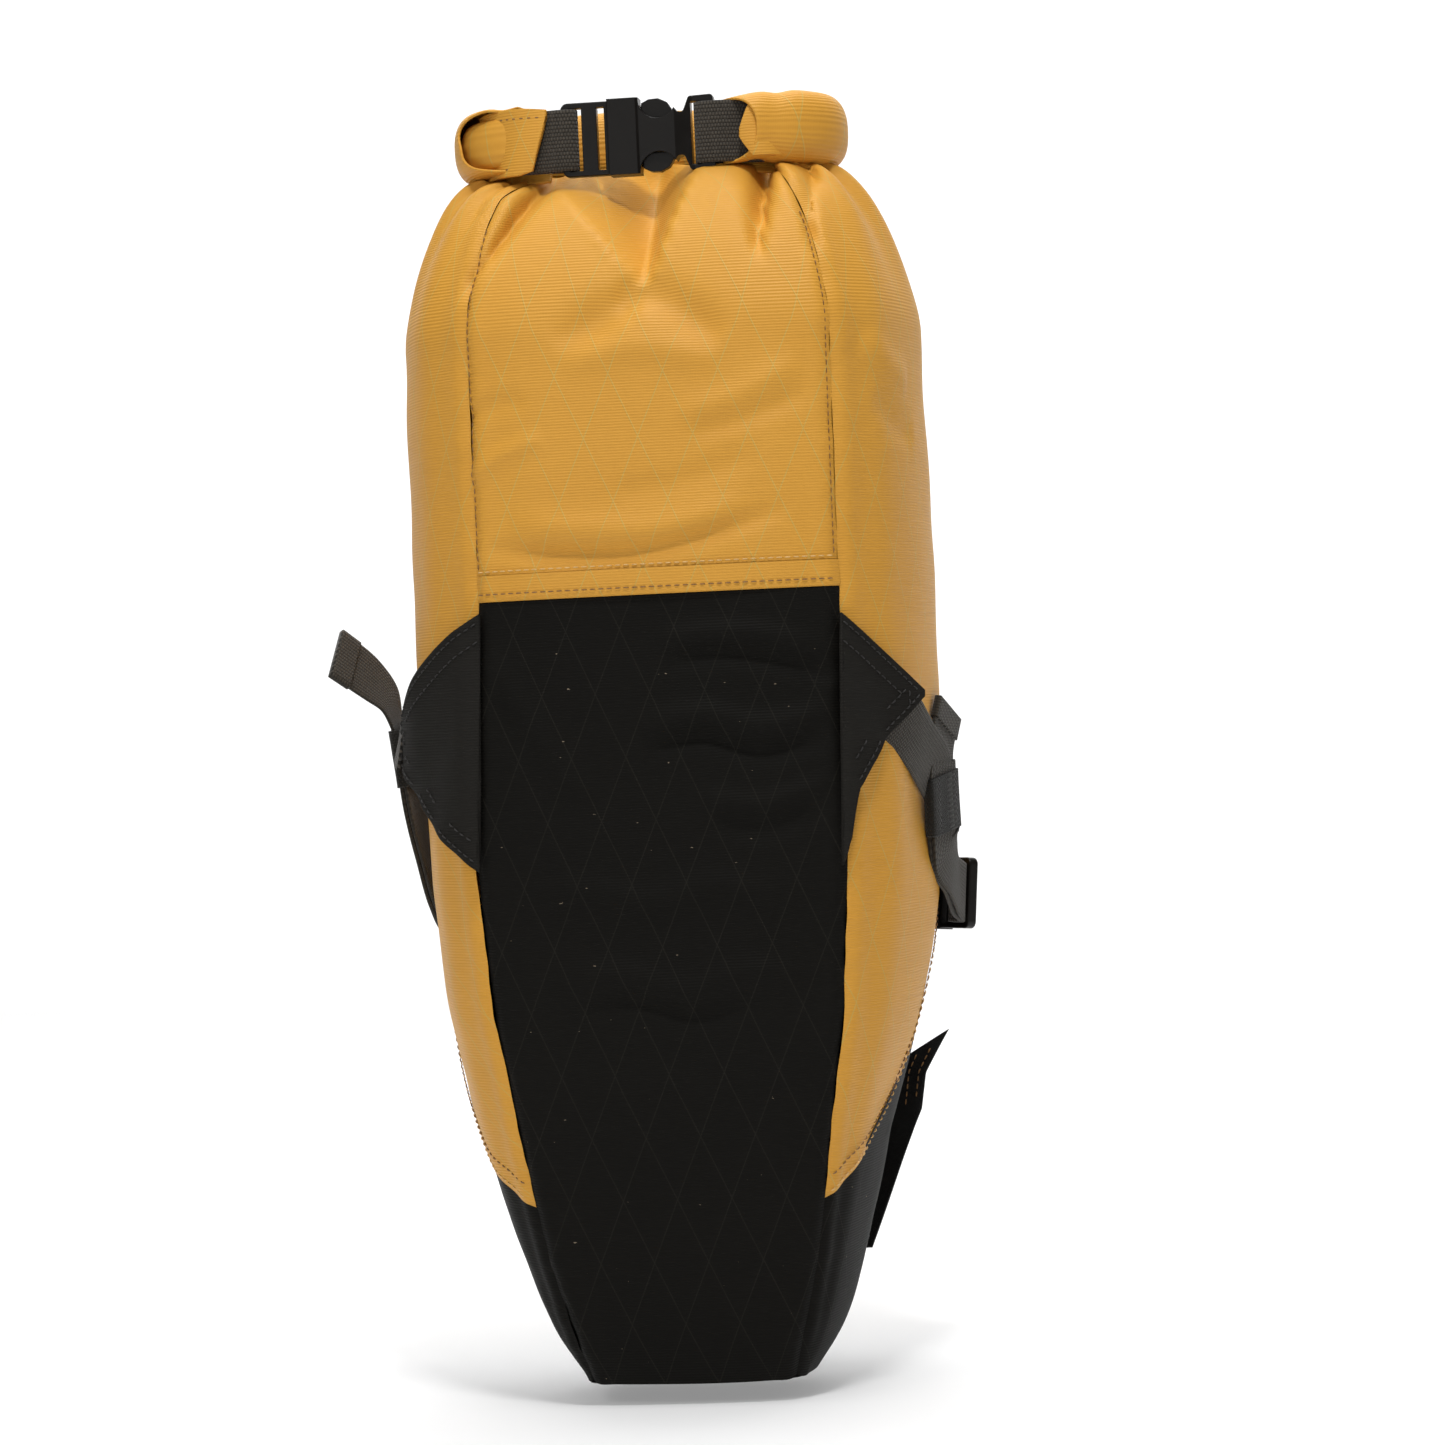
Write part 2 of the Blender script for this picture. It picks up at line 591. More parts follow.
# path of (mm round from the front middle, height), half-width, height of the ridge
CREASES = [
    ([(-66, 341), (-38, 337), (-8, 336), (22, 341), (60, 352)], 3.6, -2.6),
    ([(-54, 350), (-20, 346), (10, 346), (44, 355)], 6, 2.4),
    ([(-12, 360), (18, 364), (48, 374)], 5, -1.2),
    ([(-74, 368), (-56, 378), (-38, 384)], 3.6, 1.8),
    ([(-76, 392), (-60, 398), (-44, 399)], 4, -1.2),
    ([(14, 390), (40, 397), (66, 410)], 5, 1.4),
    ([(20, 382), (44, 388), (70, 398)], 4, -1.3),
    ([(-34, 421), (-14, 430), (4, 438), (22, 430), (36, 420)], 7, -4.0),
    ([(-30, 412), (0, 418), (34, 411)], 6, 1.6),
    ([(2, 300), (25, 303), (48, 301), (74, 293)], 4.5, 2.4),
    ([(6, 292), (30, 294), (52, 290), (76, 283)], 4, -2.6),
    ([(-6, 266), (20, 271), (45, 265), (74, 271)], 5, 2.8),
    ([(-4, 257), (20, 261), (44, 254), (70, 260)], 4, -3.0),
    ([(16, 238), (42, 234), (72, 242)], 4.5, 2.2),
    ([(20, 228), (44, 224), (66, 231)], 4.5, -2.0),
    ([(-56, 198), (-30, 202), (-4, 197), (24, 202), (56, 193)], 6, 2.0),
    ([(-48, 162), (-20, 168), (8, 160), (36, 167), (60, 160)], 6, 2.2),
    ([(-40, 151), (-12, 156), (14, 149), (42, 155)], 4.5, -2.4),
    ([(-30, 118), (0, 123), (28, 116)], 7, 1.4),
    ([(-68, 300), (-44, 262), (-28, 236)], 6, 1.4),
    ([(112, 250), (128, 262), (146, 268)], 5, 1.4),
    ([(96, 420), (112, 408), (132, 402)], 7, 1.8),
    ([(100, 395), (118, 384), (136, 380)], 6, -1.6),
    ([(-96, 424), (-112, 412), (-130, 404)], 7, 1.8),
    ([(-98, 350), (-114, 362), (-130, 366)], 7, 1.4),
]


def edge_heights(edge, us):
    """Heights of a panel's edge at columns us: one number, or a function of the column."""
    return np.array([edge(u) for u in us]) if callable(edge) else np.full(len(us), float(edge))


def panel(name, u0, u1, low, high, offset, material, step, seed, *nodes):
    """One sewn panel: a grid of skin between columns u0 and u1 and two edges; ochre ones turn in below."""
    mid = np.array([row_of(250.0)])
    width = abs(arc_at(np.array([float(u1)]), mid)[0] - arc_at(np.array([float(u0)]), mid)[0])
    us = np.linspace(u0, u1, max(int(width / step), 8) + 1)
    lo, hi = edge_heights(low, us), edge_heights(high, us)
    t = np.linspace(0, 1, max(int((hi - lo).max() / step), 8) + 1)
    z = lo[None, :] + (hi - lo)[None, :] * t[:, None]
    u = np.broadcast_to(us[None, :], z.shape)
    v = row_of(z)
    x = arc_at(u, v)
    seam_at = [arc_at(np.full(z.shape, float(end)), v) for end in (u0, u1)]
    dist = np.minimum(np.minimum(1e3, np.abs(x - seam_at[0])), np.abs(x - seam_at[1]))
    relief = folds(x, z) - 1.1 * np.exp(-((dist / 2.4) ** 2)) + 0.5 * np.exp(-(((dist - 6) / 3.5) ** 2))
    pucker = noise(x / 9, z / 2.6, seed + 50) * np.exp(-((dist / 9) ** 2)) * 0.22
    swell = 0.35
    relief += noise(x / 26, z / 11, seed) * swell + noise(x / 9, z / 5, seed + 7) * swell * 0.25 + pucker
    p = skin(u, v, relief + offset)[0]
    uv = np.stack([x, z], -1)
    if material is OCHRE:
        turned_in = skin(u[:1], v[:1], np.full((1, len(us)), -0.5))[0]
        p, uv = np.concatenate([turned_in, p]), np.concatenate([uv[:1], uv])
    faces = grid_faces(*p.shape[:2])
    obj = mesh_object(name, p.reshape(-1, 3) * MM, faces, uv.reshape(-1, 2), material)
    register(obj, "bag", nodes)


def nose_seam_height(u, extra=0):
    """Fabric height of the curved nose seam at a column, where it meets the section's y."""
    seam = np.array(NOSE_SEAM, float)
    z = 120.0
    for _ in range(30):
        y = grid_point(np.array([float(u)]), row_of(np.array([z])))[0][1]
        z = 0.5 * z + 0.5 * np.interp(y, seam[:, 0], seam[:, 1])
    return z + extra


def stitch_row(name, points, normals, material, radius=0.32, body="bag", slot_name="fabric_ochre"):
    """A row of short thread loops along a line of points."""
    length, gap, lift, ring = 2.3, 1.1, 0.15, 6
    p, n = np.asarray(points, float), np.asarray(normals, float)
    s = running_length(p)
    verts, faces = [], []
    for k in range(int(s[-1] // (length + gap))):
        a = k * (length + gap) + gap / 2
        stations = np.linspace(a, a + length, 5)
        pos = np.stack([np.interp(stations, s, p[:, i]) for i in range(3)], 1)
        nor = np.stack([np.interp(stations, s, n[:, i]) for i in range(3)], 1)
        along = pos[-1] - pos[0]
        along /= max(np.linalg.norm(along), 1e-9)
        rise = np.array([-0.25, 0.75, 1.0, 0.75, -0.25]) * radius + lift
        size = np.array([0.45, 0.95, 1.0, 0.95, 0.45]) * radius
        first = len(verts)
        for j in range(5):
            out = nor[j] / max(np.linalg.norm(nor[j]), 1e-9)
            side = np.cross(along, out)
            for angle in (2 * math.pi * q / ring for q in range(ring)):
                centre = pos[j] + out * (rise[j] + math.sin(angle) * size[j])
                verts.append((centre + side * math.cos(angle) * size[j]) * MM)
        faces += [tuple(first + i for i in quad) for quad in grid_faces(5, ring, wrap=True)]
        faces.append(tuple(first + q for q in range(ring))[::-1])
        faces.append(tuple(first + 4 * ring + q for q in range(ring)))
    register(mesh_object(name, verts, faces, None, material), body)


def skin_line(us, zs, offset):
    """Points and normals of a line on the creased skin."""
    v = row_of(zs)
    return skin(us, v, folds(arc_at(us, v), zs) + offset)


def columns_from_mm(u, z, shift):
    """Columns that lie shift mm round from column u at heights z."""
    v = row_of(z)
    a = arc_at(np.full(z.shape, float(u)), v)
    b = arc_at(np.full(z.shape, float(u) + 1), v)
    return u + shift / (b - a)


TOP = 519.0
FRONT = (FRONT_L - COLS, FRONT_R)
BACK = (BACK_R, BACK_L)
panel("front_ochre", *FRONT, HEM_Z, TOP, 0.5, OCHRE, 1.8, 3, "front_panel_upper")
panel("front_black", *FRONT, 0, HEM_Z + 3, 0.0, BLACK, 1.8, 4, "front_panel_lower")
panel("front_hem_band", *FRONT, HEM_Z - 0.6, HEM_Z + 10, 1.15, OCHRE, 1.6, 3, "front_hem")
for label, *ends in (("right", FRONT_R, BACK_R), ("left", BACK_L, FRONT_L)):
    panel("side_ochre_" + label, *ends, nose_seam_height, TOP, 0.55, OCHRE, 2.4, 5, "side_panel_" + label)
    under = partial(nose_seam_height, extra=3)
    panel("side_black_" + label, *ends, 0, under, 0.0, BLACK, 2.4, 6, "side_nose_" + label)
panel("back_ochre", *BACK, NOSE_BACK_Z, TOP, 0.55, OCHRE, 2.8, 8, "back_panel_upper", "neck_gather")
panel("back_black", *BACK, 0, NOSE_BACK_Z + 3, 0.0, BLACK, 2.8, 9, "back_panel_nose")


def base_cap():
    """The flat sole of the nose with a small rolled edge."""
    rim = skin(np.arange(COLS, dtype=float), np.zeros(COLS), np.zeros(COLS))[0]
    middle = rim.mean(axis=0)
    verts, uv = [], []
    levels = [(1.0, 0.0), (0.985, 0.0), (0.9, 0.25), (0.6, 0.3), (0.3, 0.3)]
    for scale, z in levels:
        for p in rim:
            q = middle + (p - middle) * scale
            verts.append((q[0] * MM, q[1] * MM, z * MM))
            uv.append((q[0], q[1]))
    faces = [face[::-1] for face in grid_faces(len(levels), COLS, wrap=True)]
    last = (len(levels) - 1) * COLS
    faces.append(tuple(last + c for c in range(COLS))[::-1])
    register(mesh_object("base_sole", verts, faces, uv, BLACK), "bag", ("base_panel",))


base_cap()

# stitching along the long front seams, the hem and the nose seams
for label, u, shift in (("left", FRONT[0], 1.2), ("right", FRONT[1], -2.6)):
    z = np.linspace(HEM_Z + 12, 470, 220)
    line = skin_line(columns_from_mm(u, z, shift), z, 0.1)
    stitch_row("stitch_seam_" + label, *line, THREAD_DARK, radius=0.24)
for k, (dz, offset, thread) in enumerate(((2.4, 1.35, THREAD_DARK), (11.5, 0.95, THREAD_GOLD))):
    us = np.linspace(FRONT[0] + 0.3, FRONT[1] - 0.3, 160)
    line = skin_line(us, np.full(us.shape, HEM_Z + dz), offset)
    stitch_row("stitch_hem_%d" % k, *line, thread, radius=0.27)
for label, u0, u1 in (("right", FRONT_R, BACK_R), ("left", BACK_L, FRONT_L)):
    us = np.linspace(u0 + 0.4, u1 - 0.4, 120)
    seam_z = np.array([nose_seam_height(u) for u in us])
    for k, (dz, thread) in enumerate(((2.2, THREAD_GOLD), (9.0, THREAD_DARK))):
        stitch_row("stitch_nose_%s_%d" % (label, k), *skin_line(us, seam_z + dz, 0.75), thread)


# ---------- rolled mouth
def solidify(obj, thickness):
    """Give a sheet real thickness, half to each side, and keep the result as plain mesh."""
    modifier = obj.modifiers.new("thickness", "SOLIDIFY")
    modifier.thickness = thickness * MM
    modifier.offset = 0
    evaluated = obj.evaluated_get(bpy.context.evaluated_depsgraph_get())
    mesh = bpy.data.meshes.new_from_object(evaluated)
    sheet = obj.data
    obj.modifiers.clear()
    obj.data = mesh
    bpy.data.meshes.remove(sheet)


ROLL_PATH = [
    (-34, -43), (-48, -41.5), (-61, -36), (-69, -23), (-69.5, -8), (-60, 3), (-40, 6),
    (-15, 6), (15, 6), (40, 6),
    (61, 4), (70.5, -5), (70, -20), (62, -32), (49, -40), (33, -42.5),
]
ROLL_Z = 507.5


def power(value, exponent):
    return math.copysign(abs(value) ** exponent, value)


def roll_sheet():
    """The mouth rolled nearly three turns: a spiral swept round the C, its outer turn cut back in front."""
    ns, nphi = 280, 170
    line, length = arc_resample(catmull(ROLL_PATH, 400), ns)
    tangent = tangents(line)
    normal = np.stack([-tangent[:, 1], tangent[:, 0]], 1)
    s = np.linspace(0, 1, ns)
    turns = 2.75
    verts = np.zeros((nphi, ns, 3))
    uv = np.zeros((nphi, ns, 2))
    for i in range(nphi):
        phi = i / (nphi - 1)
        angle = -math.pi * 0.62 - phi * turns * 2 * math.pi
        size = 1 - 0.60 * phi**0.85
        outer = 1 - np.clip((phi - 0.36) / 0.05, 0, 1)
        facing_out = max(math.cos(angle), 0) ** 0.8
        upper = max(math.sin(angle), 0)
        cut_left = outer * (4 + 34 * facing_out + 12 * upper) + (1 - outer) * 9
        cut_right = outer * (1 + 13 * facing_out) + (1 - outer) * (13 + 6 * phi)
        at = (cut_left + (length - cut_left - cut_right) * s) / length
        x = np.interp(at, s, line[:, 0])
        y = np.interp(at, s, line[:, 1])
        nx = np.interp(at, s, normal[:, 0])
        ny = np.interp(at, s, normal[:, 1])
        left_end = np.clip((0.24 - at) / 0.24, 0, 1)
        right_end = np.clip((at - 0.76) / 0.24, 0, 1)
        lip = np.clip((26 - (1 - at) * length) / 26, 0, 1) ** 1.5
        half_h = 17.2 + 1.4 * right_end - 0.6 * left_end - (5.5 if math.sin(angle) > 0 else 1.0) * lip
        half_w = 13.0 - 2.5 * np.clip(1 - np.abs(at - 0.5) / 0.2, 0, 1) - 3.0 * left_end - 2.0 * right_end
        if not outer:
            near_end = np.clip((0.16 - np.minimum(at, 1 - at)) / 0.12, 0, 1)
            half_w = half_w * (1 - 0.75 * near_end**0.7)
        a = power(math.cos(angle), 0.8) * size * half_w
        b = power(math.sin(angle), 0.8) * size * half_h
        around = angle * 15 * size
        along = at * length
        wave = noise(along / 16 + around / 13, around / 26 - along / 40, 21) * 0.8
        wave += noise(along / 7 + around / 6, around / 30, 22) * 0.22
        dents = 1.6 * np.exp(-(((along - length * 0.83 + around * 0.35) / 5) ** 2))
        dents = dents + 1.8 * np.exp(-(((along - length * 0.15 - around * 0.3) / 4) ** 2))
        grow = 1 + (wave - dents * outer) / 17
        verts[i, :, 0] = x + nx * a * grow
        verts[i, :, 1] = y + ny * a * grow
        verts[i, :, 2] = ROLL_Z + b * grow
        uv[i, :, 0] = along
        uv[i, :, 1] = around
    faces = grid_faces(nphi, ns)
    obj = mesh_object("roll_mouth", verts.reshape(-1, 3) * MM, faces, uv.reshape(-1, 2), OCHRE)
    solidify(obj, 0.9)
    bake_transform(obj)
    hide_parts("roll_core", "roll_arm_left", "roll_arm_right")


roll_sheet()


# ---------- tapes and straps
def tape(name, stations, width, thickness, material, body="bag", nodes=(), slot_name="webbing", count=70):
    """A flat tape through stations (centre, width direction), with rounded edges."""
    edge = 0.5 if slot_name == "webbing" else 0.8
    centres = np.array([s[0] for s in stations], float)
    across = np.array([s[1] for s in stations], float)
    c = catmull(centres, count)
    a = catmull(across, count)
    a /= np.linalg.norm(a, axis=1, keepdims=True)
    along = tangents(c)
    a -= along * np.sum(a * along, axis=1, keepdims=True)
    a /= np.linalg.norm(a, axis=1, keepdims=True)
    n = np.cross(along, a)
    s = running_length(c)
    half, t = width / 2, thickness / 2
    cells = 9
    top = [(-half + edge + (width - 2 * edge) * k / cells, t) for k in range(cells + 1)]
    bevel = half - edge * 0.35
    outline = [(-half, 0), (-bevel, t * 0.75)] + top + [(bevel, t * 0.75), (half, 0), (bevel, -t * 0.75)]
    outline += [(x, -y) for x, y in top[::-1]] + [(-bevel, -t * 0.75)]
    m = len(outline)
    verts, uv = [], []
    for k in range(count):
        for x, y in outline:
            verts.append((c[k] + a[k] * x + n[k] * y) * MM)
            uv.append((x + half, s[k]))
    faces = grid_faces(count, m, wrap=True)
    faces.append(tuple(range(m))[::-1])
    faces.append(tuple((count - 1) * m + j for j in range(m)))
    obj = mesh_object(name, verts, faces, uv, material)
    mesh = bmesh.new()
    mesh.from_mesh(obj.data)
    bmesh.ops.recalc_face_normals(mesh, faces=mesh.faces)
    mesh.to_mesh(obj.data)
    mesh.free()
    register(obj, body, nodes)


webbing = partial(tape, width=25, thickness=1.4, material=WEBBING)


def plan_stations(path, z):
    """Stations of an upright tape that follows a plan-view path."""
    return [((x, y, z), (0, 0, 1)) for x, y in path]


ROLL_WEB_Z = 507
ROLL_WEB_LEFT = [
    (-56, -38), (-46, -42.3), (-38, -44.2), (-33, -45.4), (-28.4, -45.4), (-26.2, -44.2),
    (-25.7, -42), (-26.2, -39.8), (-28.4, -38.6), (-33, -38.4), (-40, -38.9), (-50, -38),
]
ROLL_WEB_RIGHT = [
    (56, -36), (48, -41), (39, -44.3), (33, -46), (27, -46), (24.2, -44.6),
    (23.6, -42), (24.2, -39.4), (27, -38), (33, -38), (42, -37.6), (50, -35),
]
left_web, right_web = plan_stations(ROLL_WEB_LEFT, ROLL_WEB_Z), plan_stations(ROLL_WEB_RIGHT, ROLL_WEB_Z)
webbing("roll_web_left_tape", left_web, body="roll_left_end", nodes=("roll_web_left",), count=90)
webbing("roll_web_right_tape", right_web, nodes=("roll_web_right",), count=90)


# ---------- wings
def tab(
    name, plan, high, low, material, thread, body="bag", nodes=(), slot_name="fabric_black",
    thickness=1.5, rows=(2.6, 9.0),
):
    """Sewn tab: plan path, heights of its top and bottom edges along it, stitches along the free edges."""
    line = arc_resample(catmull(plan, 200), 200)[0]
    sign = 1 if line[:, 0].mean() > 0 else -1
    seg = running_length(line)
    tangent = tangents(line)
    out = np.stack([tangent[:, 1], -tangent[:, 0]], 1) * sign
    high, low = np.array(high, float), np.array(low, float)
    reach = max(high[-1, 0], low[-1, 0])

    def edges(arc):
        return np.interp(arc, high[:, 0], high[:, 1]), np.interp(arc, low[:, 0], low[:, 1])

    def place(arc, z, lift=0.0):
        x, y = np.interp(arc, seg, line[:, 0]), np.interp(arc, seg, line[:, 1])
        o = np.array([np.interp(arc, seg, out[:, 0]), np.interp(arc, seg, out[:, 1])])
        top, floor = edges(arc)
        edge = max(min(top - z, z - floor), 0)
        ripple = 0.5 * math.sin(z / 4.2 + arc / 5) * math.exp(-edge / 6)
        ripple += 0.7 * math.sin(z / 13 + arc / 8) + lift
        return np.array([x + o[0] * ripple, y + o[1] * ripple, z]), np.array([o[0], o[1], 0])

    nu, nv = 44, 52
    verts, uv = [], []
    for i in range(nu + 1):
        arc = reach * i / nu
        top, floor = edges(arc)
        for j in range(nv + 1):
            z = floor + (top - floor) * j / nv
            verts.append(place(arc, z)[0] * MM)
            uv.append((arc, z))
    faces = []
    for i in range(nu):
        for j in range(nv):
            a = i * (nv + 1) + j
            quad = (a, a + nv + 1, a + nv + 2, a + 1)
            faces.append(quad if sign > 0 else quad[::-1])
    obj = mesh_object(name, verts, faces, uv, material)
    solidify(obj, thickness)
    register(obj, body, nodes)
    first = high[int(high[0, 1] < high[:, 1].max() - 20)]
    cut_end = [low[-1]] if len(low) > 1 and abs(low[-1, 1] - high[-1, 1]) > 1 else []
    corners = [first, high[-1]] + cut_end + list(low[-2:0:-1])
    middle = np.mean(corners, axis=0)
    for k in range(len(corners) - 1):
        a, b = np.array(corners[k]), np.array(corners[k + 1])
        if b[0] < 2:
            continue
        along = (b - a) / np.linalg.norm(b - a)
        inward = np.array([-along[1], along[0]])
        inward *= np.sign(inward @ (middle - a)) or 1
        for row, inset in enumerate(rows):
            t = np.linspace(inset * 0.7, np.linalg.norm(b - a) - inset * 0.7, 60)
            points, normals = [], []
            for d in t:
                p = a + along * d + inward * inset
                top, floor = edges(p[0])
                if 0.5 < p[0] < reach and floor + 1 < p[1] < top - 1:
                    q, o = place(p[0], p[1], 0.8)
                    points.append(q)
                    normals.append(o)
            if len(points) > 6 and np.linalg.norm(points[-1] - points[0]) > 8:
                label = "%s_stitch_%d%d" % (name, k, row)
                stitch_row(label, points, normals, thread, body=body, slot_name=slot_name)


# edge heights are given against distance round from the seam
tab(
    "wing_right_tab", [(73.8, -81.2), (77.4, -80.8), (84, -75), (91, -67), (99, -58), (106.5, -49.5)],
    [(0, 208.6), (3.6, 309), (46.1, 276.5)], [(0, 208), (4.6, 220), (8, 238), (23.6, 257), (46.1, 274)],
    WING, THREAD_BLACK, nodes=("wing_right",),
)
tab(
    "wing_left_tab",
    [(-68.2, -81.0), (-77, -80.6), (-84, -75.5), (-92, -67), (-100, -57), (-107, -44), (-111, -34)],
    [(0, 315), (34, 295), (65, 276)], [(0, 314.5), (0.6, 300), (4.4, 211), (28, 228), (46, 243), (65, 255)],
    WING, THREAD_BLACK, nodes=("wing_left",),
)
tab(
    "roll_tongue_left", [(-37, -46.4), (-44, -46), (-51, -44), (-58, -39), (-64, -31), (-67, -22)],
    [(0, 519.5), (10, 521), (48, 521)], [(0, 517), (6.5, 495), (12, 493.5), (48, 494)], OCHRE, THREAD_DARK,
    body="roll_left_end", slot_name="fabric_ochre", thickness=2.6, rows=(3.0,),
)
tab(
    "roll_tongue_right", [(42, -46.4), (47, -47), (53, -45), (60, -38), (66, -28)],
    [(0, 507), (4, 517), (36, 519)], [(0, 504), (5, 496), (36, 496)], OCHRE, THREAD_DARK,
    slot_name="fabric_ochre", thickness=2.2, rows=(),
)


# ---------- side straps
KEEPER_RIGHT = ((108.6, -7, 230), (0, -0.157, 0.988), (0.94, -0.337, -0.054))
KEEPER_LEFT = ((-115.9, -5, 258), (-0.118, 0, 0.993), (-0.993, 0, -0.118))
SIDE_BUCKLE_RIGHT = ((116, 48, 190), (-0.68, 0.733, 0), (0.074, 0.069, 0.995))
SIDE_BUCKLE_LEFT = ((-106, 58, 188), (0.68, 0.733, 0), (-0.074, 0.069, 0.995))
# distance of each strap layer from the middle of its keeper
LAYER = 0.95


def run_stations(keeper, layer, heights):
    centre, up, out = (np.array(k, float) for k in keeper)
    across = np.cross(up, out)
    across *= math.copysign(1, across[1])
    return [(centre + out * layer + up * h, across) for h in heights]


def buckle_station(frame_, u, w):
    origin, along, across = (np.array(k, float) for k in frame_)
    along = along / np.linalg.norm(along)
    out = np.cross(along, across)
    return (origin + along * u + out * w, across)


right_fixed = [
    ((92, -62, 272), (0.56, 0.42, 0.71)),
    ((98.5, -53, 264), (0.5, 0.5, 0.71)),
    ((103.6, -37, 253), (0.38, 0.68, 0.63)),
]
right_fixed += run_stations(KEEPER_RIGHT, -LAYER, (9, -6, -18))
right_fixed += [
    ((108.6, 12, 203), (0.12, 0.62, 0.78)),
    ((108.3, 32, 194.5), (0, 0.2, 0.98)),
]
right_fixed += [buckle_station(SIDE_BUCKLE_RIGHT, 2, -5.0), buckle_station(SIDE_BUCKLE_RIGHT, 10, -4.4)]
webbing("strap_right_fixed", right_fixed, nodes=("strap_fixed_right",), count=120)
right_loose = [buckle_station(SIDE_BUCKLE_RIGHT, 9, -3.0), buckle_station(SIDE_BUCKLE_RIGHT, 2, -3.4)]
right_loose += [
    ((110.8, 32, 194.5), (0, 0.2, 0.98)),
    ((110.4, 12, 203), (0.12, 0.62, 0.78)),
]
right_loose += run_stations(KEEPER_RIGHT, LAYER, (-18, -6, 8))
right_loose += [
    ((109.6, -11, 246.5), (0.3, 0.9, -0.1)),
    ((109.9, -9, 253), (0.22, 0.84, -0.42)),
    ((110.7, -6, 260.5), (0.22, 0.8, -0.52)),
    ((112.6, -2.5, 269), (0.22, 0.8, -0.52)),
]
webbing("strap_right_loose", right_loose, nodes=("strap_loose_right",), count=200)
tape("strap_right_hem", right_loose[-2:], 25.4, 3.0, WEBBING, count=12)
left_fixed = [
    ((-109.6, -40, 265), (0.1, 0.3, 0.95)),
    ((-113.6, -22, 268), (0, 0.78, 0.62)),
]
left_fixed += run_stations(KEEPER_LEFT, -LAYER, (6, -8, -20))
left_fixed += [
    ((-111, 8, 222), (0, 0.8, 0.6)), ((-109.2, 22, 204), (0, 0.62, 0.78)),
    ((-106.6, 40, 193), (0, 0.3, 0.95)),
]
left_fixed += [buckle_station(SIDE_BUCKLE_LEFT, 8, 5.4)]
webbing("strap_left_fixed", left_fixed, nodes=("strap_fixed_left",), count=120)
left_loose = [buckle_station(SIDE_BUCKLE_LEFT, 8, 3.4)]
left_loose += [
    ((-109, 41, 193), (0, 0.3, 0.95)),
    ((-111.4, 22.4, 204), (0, 0.62, 0.78)),
    ((-113, 8, 222), (0, 0.8, 0.6)),
]
left_loose += run_stations(KEEPER_LEFT, LAYER, (-20, -8, 8, 15))
left_loose += [
    ((-121, -7.5, 283.5), (0.1, 0.92, 0.35)),
    ((-127, -12, 291.5), (0.1, 0.76, 0.64)),
    ((-133, -18, 297.5), (0.06, 0.64, 0.76)),
    ((-139.2, -23.5, 303), (0.05, 0.6, 0.8)),
]
webbing("strap_left_loose", left_loose, nodes=("strap_loose_left",), count=160)
tape("strap_left_hem", left_loose[-2:], 25.4, 3.0, WEBBING, count=12)


def keeper(name, frame_, node_name):
    """Elastic loop round both layers of a strap, slightly waisted, as a closed tape."""
    centre, up, out = (np.array(k, float) for k in frame_)
    across = np.cross(up, out)
    half_w, half_t = 13.4, 2.35
    loop = []
    for k in range(48):
        angle = 2 * math.pi * k / 48
        c, s_ = math.cos(angle), math.sin(angle)
        loop.append((half_t * math.copysign(abs(c) ** 0.45, c), half_w * math.copysign(abs(s_) ** 0.28, s_)))
    rows = np.linspace(-12, 12, 15)
    verts, uv = [], []
    for h in rows:
        waist = 1 - 0.02 * math.cos(h / 12 * math.pi / 2)
        for k, (a, b) in enumerate(loop):
            crease = 0.12 * math.sin(h * 1.7 + k)
            p = centre + out * (a + math.copysign(crease, a)) + across * b * waist + up * h
            verts.append(p * MM)
            uv.append((h + 12, k * 0.7))
    faces = grid_faces(len(rows), len(loop), wrap=True)
    obj = mesh_object(name, verts, faces, uv, ELASTIC)
    solidify(obj, 1.0)
    register(obj, node_name, (node_name,))


keeper("keeper_loop_right", KEEPER_RIGHT, "keeper_right")
keeper("keeper_loop_left", KEEPER_LEFT, "keeper_left")
ANCHOR_Z = 190
ANCHOR_RIGHT = [(73.4, 94.2), (67, 94.4), (60, 91.5), (50, 86.2), (42, 85.0), (30, 84.9), (20, 84.9)]
ANCHOR_LEFT = [(-63, 104), (-57, 103), (-51, 96.5), (-44, 87), (-38, 85.0), (-28, 84.9), (-18, 84.9)]
webbing("anchor_right_tape", plan_stations(ANCHOR_RIGHT, ANCHOR_Z), nodes=("anchor_web_right",))
webbing("anchor_left_tape", plan_stations(ANCHOR_LEFT, ANCHOR_Z), nodes=("anchor_web_left",))


# ---------- seatpost wrap
TILT = math.radians(19)
POST_FACE = np.array([0, 59.6, 82.0])
POST_AXIS = np.array([0, math.sin(TILT), math.cos(TILT)])
POST_OUT = np.array([0, math.cos(TILT), -math.sin(TILT)])


def post_sheet(name, path, thickness, node_name):
    """Hook-and-loop tape bent round the post: path of (p across, q outward), extruded along the post."""
    stations = [(POST_FACE + np.array([a, 0, 0]) + POST_OUT * q, POST_AXIS) for a, q in path]
    tape(name, stations, 84, thickness, HOOK, "bag", (node_name,), "hook_loop", count=110)


arch = [(-17.0 * math.cos(a), 18.9 + 17.0 * math.sin(a)) for a in np.linspace(0, math.pi, 19)]
post_sheet("post_wrap_arch", [(-17.0, 2.0)] + arch + [(17.0, 2.0)], 1.8, "post_wrap")
post_sheet("post_loop_pad", [(x, 2.0) for x in (-17, 0, 20, 40, 58)], 1.6, "post_pad")


